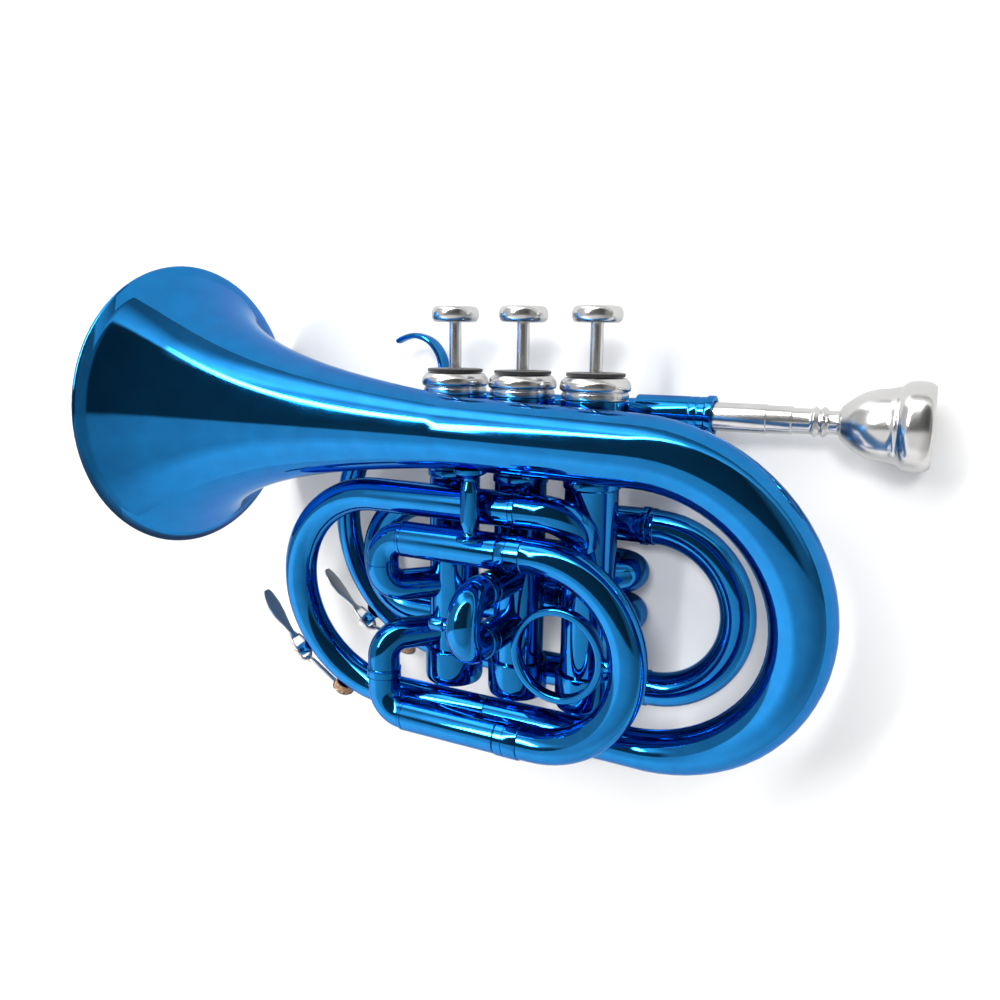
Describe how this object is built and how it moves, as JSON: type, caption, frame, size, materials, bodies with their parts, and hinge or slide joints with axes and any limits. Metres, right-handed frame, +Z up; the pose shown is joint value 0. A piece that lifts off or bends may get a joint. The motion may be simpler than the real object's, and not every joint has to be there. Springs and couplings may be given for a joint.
{
  "type": "pocket trumpet",
  "caption": "Compact wound brass horn in blue lacquer, with spring valves, pull-out tuning slides, water keys, a finger ring and a push-in mouthpiece.",
  "frame": {"origin": "centre of the bounding box, at the plane that the horn lies on", "axes": "+X towards the mouthpiece, +Y towards the finger buttons, +Z up, away from the plane it lies on"},
  "size_m": [0.2626, 0.1676, 0.1072],
  "materials": {
    "blue_lacquer": "mirror-bright blue lacquer over plated brass",
    "silver_plate": "bright silver-coloured plating",
    "piston_metal": "honed alloy",
    "spring_steel": "drawn wire",
    "felt": "dense dark felt",
    "cork": "natural cork"
  },
  "bodies": {
    "horn": {"casing_1": "blue_lacquer", "top_cap_1": "silver_plate", "cap_felt_1": "felt", "bottom_cap_1": "blue_lacquer", "valve_guide_1": "silver_plate", "casing_2": "blue_lacquer", "top_cap_2": "silver_plate", "cap_felt_2": "felt", "bottom_cap_2": "blue_lacquer", "valve_guide_2": "silver_plate", "casing_3": "blue_lacquer", "top_cap_3": "silver_plate", "cap_felt_3": "felt", "bottom_cap_3": "blue_lacquer", "valve_guide_3": "silver_plate", "knuckle_1_2": "blue_lacquer", "knuckle_2_3": "blue_lacquer", "mouthpiece_receiver": "blue_lacquer", "leadpipe": "blue_lacquer", "leadpipe_bend": "blue_lacquer", "upper_slide_sleeve": "blue_lacquer", "lower_slide_sleeve": "blue_lacquer", "valve_3_entry_loop": "blue_lacquer", "bell": "blue_lacquer", "bell_tail_loop": "blue_lacquer", "bell_tail_knuckle": "blue_lacquer", "bell_brace": "blue_lacquer", "finger_hook": "blue_lacquer", "third_upper_tube": "blue_lacquer", "third_lower_tube": "blue_lacquer", "third_upper_elbow": "blue_lacquer", "third_lower_elbow": "blue_lacquer", "second_upper_leg": "blue_lacquer", "second_lower_leg": "blue_lacquer", "first_upper_leg": "blue_lacquer", "first_lower_leg": "blue_lacquer", "near_key_saddle": "blue_lacquer", "far_key_saddle": "blue_lacquer"},
    "valve_1": {"piston_1": "piston_metal", "stem_1": "silver_plate", "finger_button_1": "silver_plate", "valve_spring_1": "spring_steel"},
    "valve_2": {"piston_2": "piston_metal", "stem_2": "silver_plate", "finger_button_2": "silver_plate", "valve_spring_2": "spring_steel"},
    "valve_3": {"piston_3": "piston_metal", "stem_3": "silver_plate", "finger_button_3": "silver_plate", "valve_spring_3": "spring_steel"},
    "third_slide": {"third_crook": "blue_lacquer", "finger_ring": "blue_lacquer"},
    "second_slide": {"second_crook": "blue_lacquer"},
    "first_slide": {"first_crook": "blue_lacquer"},
    "tuning_slide": {"tuning_crook": "blue_lacquer"},
    "mouthpiece_body": {"mouthpiece": "silver_plate"},
    "near_key": {"near_key_lever": "silver_plate", "near_key_cork": "cork"},
    "far_key": {"far_key_lever": "silver_plate", "far_key_cork": "cork"}
  },
  "joints": [
    {"name": "valve_1_press", "type": "slide", "parent": "horn", "child": "valve_1", "axis": [0, -1, 0], "range_m": [0, 0.016], "stiffness_N_per_m": 120, "springref_m": -0.012, "deforming": ["valve_spring_1"]},
    {"name": "valve_2_press", "type": "slide", "parent": "horn", "child": "valve_2", "axis": [0, -1, 0], "range_m": [0, 0.016], "stiffness_N_per_m": 120, "springref_m": -0.012, "deforming": ["valve_spring_2"]},
    {"name": "valve_3_press", "type": "slide", "parent": "horn", "child": "valve_3", "axis": [0, -1, 0], "range_m": [0, 0.016], "stiffness_N_per_m": 120, "springref_m": -0.012, "deforming": ["valve_spring_3"]},
    {"name": "third_slide_pull", "type": "slide", "parent": "horn", "child": "third_slide", "axis": [1, 0, 0], "range_m": [0, 0.022]},
    {"name": "second_slide_pull", "type": "slide", "parent": "horn", "child": "second_slide", "axis": [0, 0, 1], "range_m": [0, 0.009]},
    {"name": "first_slide_pull", "type": "slide", "parent": "horn", "child": "first_slide", "axis": [-1, 0, 0], "range_m": [0, 0.014]},
    {"name": "tuning_slide_pull", "type": "slide", "parent": "horn", "child": "tuning_slide", "axis": [1, 0, 0], "range_m": [0, 0.022]},
    {"name": "mouthpiece_pull", "type": "slide", "parent": "horn", "child": "mouthpiece_body", "axis": [1, 0, 0], "range_m": [0, 0.02]},
    {"name": "near_key_press", "type": "hinge", "parent": "horn", "child": "near_key", "pos_m": [-0.09083, -0.06717, 0.03904], "axis": [0, 0.1077, -0.9942], "range_deg": [0, 20], "stiffness_Nm_per_rad": 0.02, "springref_deg": -45.84},
    {"name": "far_key_press", "type": "hinge", "parent": "horn", "child": "far_key", "pos_m": [-0.07895, -0.06087, 0.01115], "axis": [0, 0.0287, -0.9996], "range_deg": [0, 20], "stiffness_Nm_per_rad": 0.02, "springref_deg": -45.84}
  ]
}
